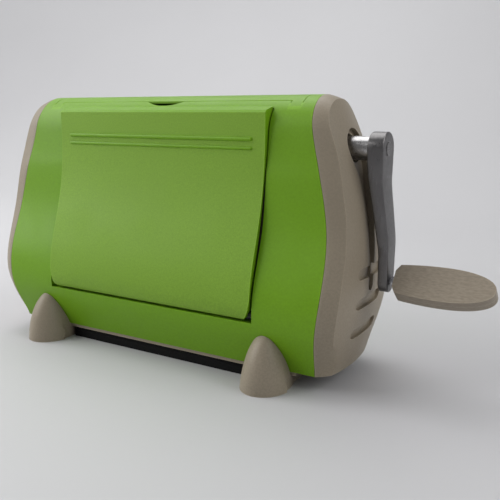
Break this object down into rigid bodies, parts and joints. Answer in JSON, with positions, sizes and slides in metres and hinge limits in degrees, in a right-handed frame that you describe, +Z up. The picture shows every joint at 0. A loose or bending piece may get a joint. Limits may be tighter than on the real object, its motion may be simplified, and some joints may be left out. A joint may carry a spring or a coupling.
{
  "type": "manual die cutting machine",
  "caption": "Tabletop hand cranked die cutting machine with drop-down doors that serve as feed tables, a geared roller nip, moulded end caps, side crank and flush carrying handle.",
  "frame": {"origin": "on the table, under the middle of the rubber base, midway between the end caps and between the two doors", "axes": "+X along the machine towards the crank, -Y towards the front door, +Z up"},
  "size_m": [0.3795, 0.125, 0.184],
  "materials": {
    "green_plastic": "satin moulded",
    "beige_plastic": "satin moulded",
    "inner_plastic": "matt moulded",
    "tray_plastic": "smooth moulded",
    "black_rubber": "matt",
    "steel_plate": "brushed",
    "roller_steel": "ground",
    "gear_steel": "machined",
    "fastener_steel": "zinc plated",
    "bush_brass": "turned",
    "crank_metal": "satin dark cast",
    "cap_metal": "turned bright"
  },
  "bodies": {
    "casing": {"front_shell": "green_plastic", "rear_shell": "green_plastic", "right_end_cap": "beige_plastic", "left_end_cap": "beige_plastic", "front_throat": "inner_plastic", "rear_throat": "inner_plastic", "front_feed_bed": "steel_plate", "rear_feed_bed": "steel_plate", "base_pan": "beige_plastic", "rubber_base": "black_rubber", "right_foot_rail": "beige_plastic", "left_foot_rail": "beige_plastic", "right_frame_plate": "steel_plate", "left_frame_plate": "steel_plate", "tie_bars": "steel_plate", "tie_screws": "fastener_steel", "frame_screws": "fastener_steel", "roller_bushes": "bush_brass", "bridge_bushes": "bush_brass", "crank_bushes": "bush_brass", "idler_shaft": "roller_steel", "gear_bridge": "steel_plate", "bridge_posts": "steel_plate", "bridge_screws": "fastener_steel", "handle_yoke": "steel_plate", "handle_well": "inner_plastic"},
    "front_door": {"front_door": "green_plastic", "front_tray": "tray_plastic", "front_door_pins": "fastener_steel"},
    "rear_door": {"rear_door": "green_plastic", "rear_tray": "tray_plastic", "rear_door_pins": "fastener_steel"},
    "handle": {"carry_handle": "green_plastic", "handle_legs": "roller_steel"},
    "crank": {"crank_shaft": "crank_metal", "crank_pinion": "gear_steel", "crank_arm": "crank_metal", "crank_cap": "cap_metal", "grip_pin": "fastener_steel"},
    "grip": {"grip_top_half": "beige_plastic", "grip_bottom_half": "beige_plastic"},
    "idler": {"idler_pinion": "gear_steel", "idler_wheel": "gear_steel"},
    "upper_roller": {"upper_roller": "roller_steel", "upper_timing_gear": "gear_steel", "drive_gear": "gear_steel", "upper_roller_clip": "fastener_steel"},
    "lower_roller": {"lower_roller": "roller_steel", "lower_timing_gear": "gear_steel", "lower_roller_clip": "fastener_steel"}
  },
  "joints": [
    {"name": "front_door_hinge", "type": "hinge", "parent": "casing", "child": "front_door", "pos_m": [0, -0.0456, 0.0475], "axis": [1, 0, 0], "range_deg": [0, 100.6]},
    {"name": "rear_door_hinge", "type": "hinge", "parent": "casing", "child": "rear_door", "pos_m": [0, 0.0456, 0.0475], "axis": [-1, 0, 0], "range_deg": [0, 100.6]},
    {"name": "handle_lift", "type": "slide", "parent": "casing", "child": "handle", "axis": [0, 0, 1], "range_m": [0, 0.025]},
    {"name": "crank_turn", "type": "hinge", "parent": "casing", "child": "crank", "pos_m": [0.14, 0, 0.151], "axis": [1, 0, 0], "continuous": true},
    {"name": "grip_spin", "type": "hinge", "parent": "crank", "child": "grip", "pos_m": [0.17, 0, 0.0685], "axis": [1, 0, 0], "continuous": true},
    {"name": "idler_turn", "type": "hinge", "parent": "casing", "child": "idler", "pos_m": [0.105, 0, 0.115], "axis": [1, 0, 0], "continuous": true},
    {"name": "upper_roller_turn", "type": "hinge", "parent": "casing", "child": "upper_roller", "pos_m": [0, 0, 0.077], "axis": [1, 0, 0], "continuous": true},
    {"name": "lower_roller_turn", "type": "hinge", "parent": "casing", "child": "lower_roller", "pos_m": [0, 0, 0.037], "axis": [1, 0, 0], "continuous": true}
  ],
  "couplings": [
    {"joint": "crank_turn", "follows": "upper_roller_turn", "ratio": 4.3333},
    {"joint": "idler_turn", "follows": "upper_roller_turn", "ratio": -2.1667},
    {"joint": "lower_roller_turn", "follows": "upper_roller_turn", "ratio": -1}
  ]
}
